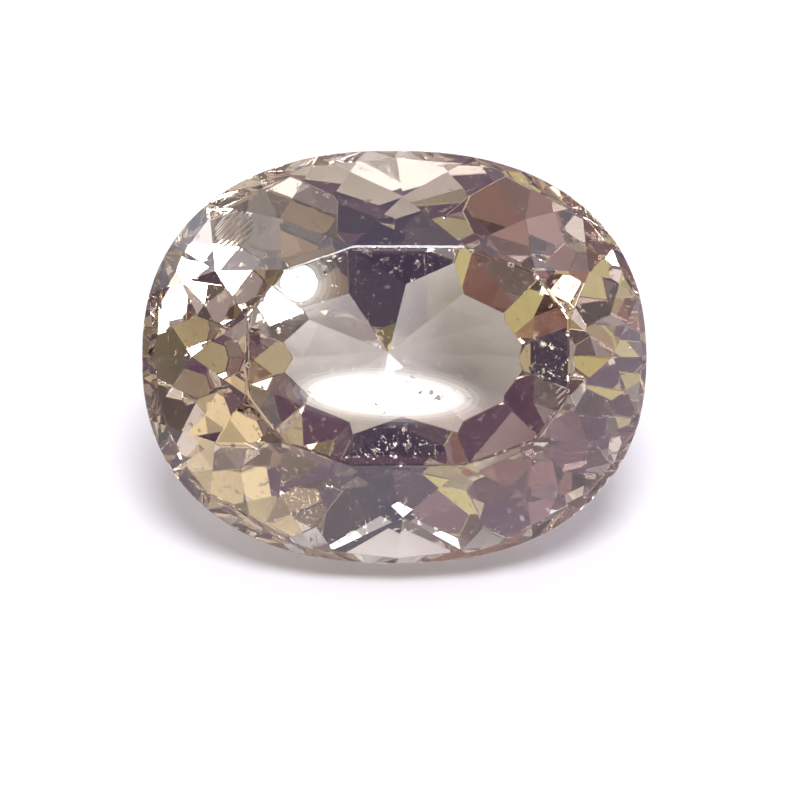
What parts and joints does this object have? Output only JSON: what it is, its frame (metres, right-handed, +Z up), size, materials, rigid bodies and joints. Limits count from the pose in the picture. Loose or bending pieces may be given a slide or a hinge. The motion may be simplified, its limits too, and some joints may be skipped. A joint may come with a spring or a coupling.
{
  "type": "faceted oval kunzite gemstone",
  "caption": "Loose clear kunzite cut as a faceted oval, with a flat table, a thin girdle and a deep pointed underside, lying on a facet of its underside.",
  "frame": {"origin": "bottom centre of the stone's bounding box, on the surface that it lies on", "axes": "+Z up, +X along the long axis of the oval; the table faces -Y and up, 45 degrees from level"},
  "size_m": [0.0146, 0.0092, 0.0091],
  "materials": {
    "kunzite": "polished, clear, pale pink-beige"
  },
  "bodies": {
    "root": {"kunzite": "kunzite"}
  },
  "joints": []
}
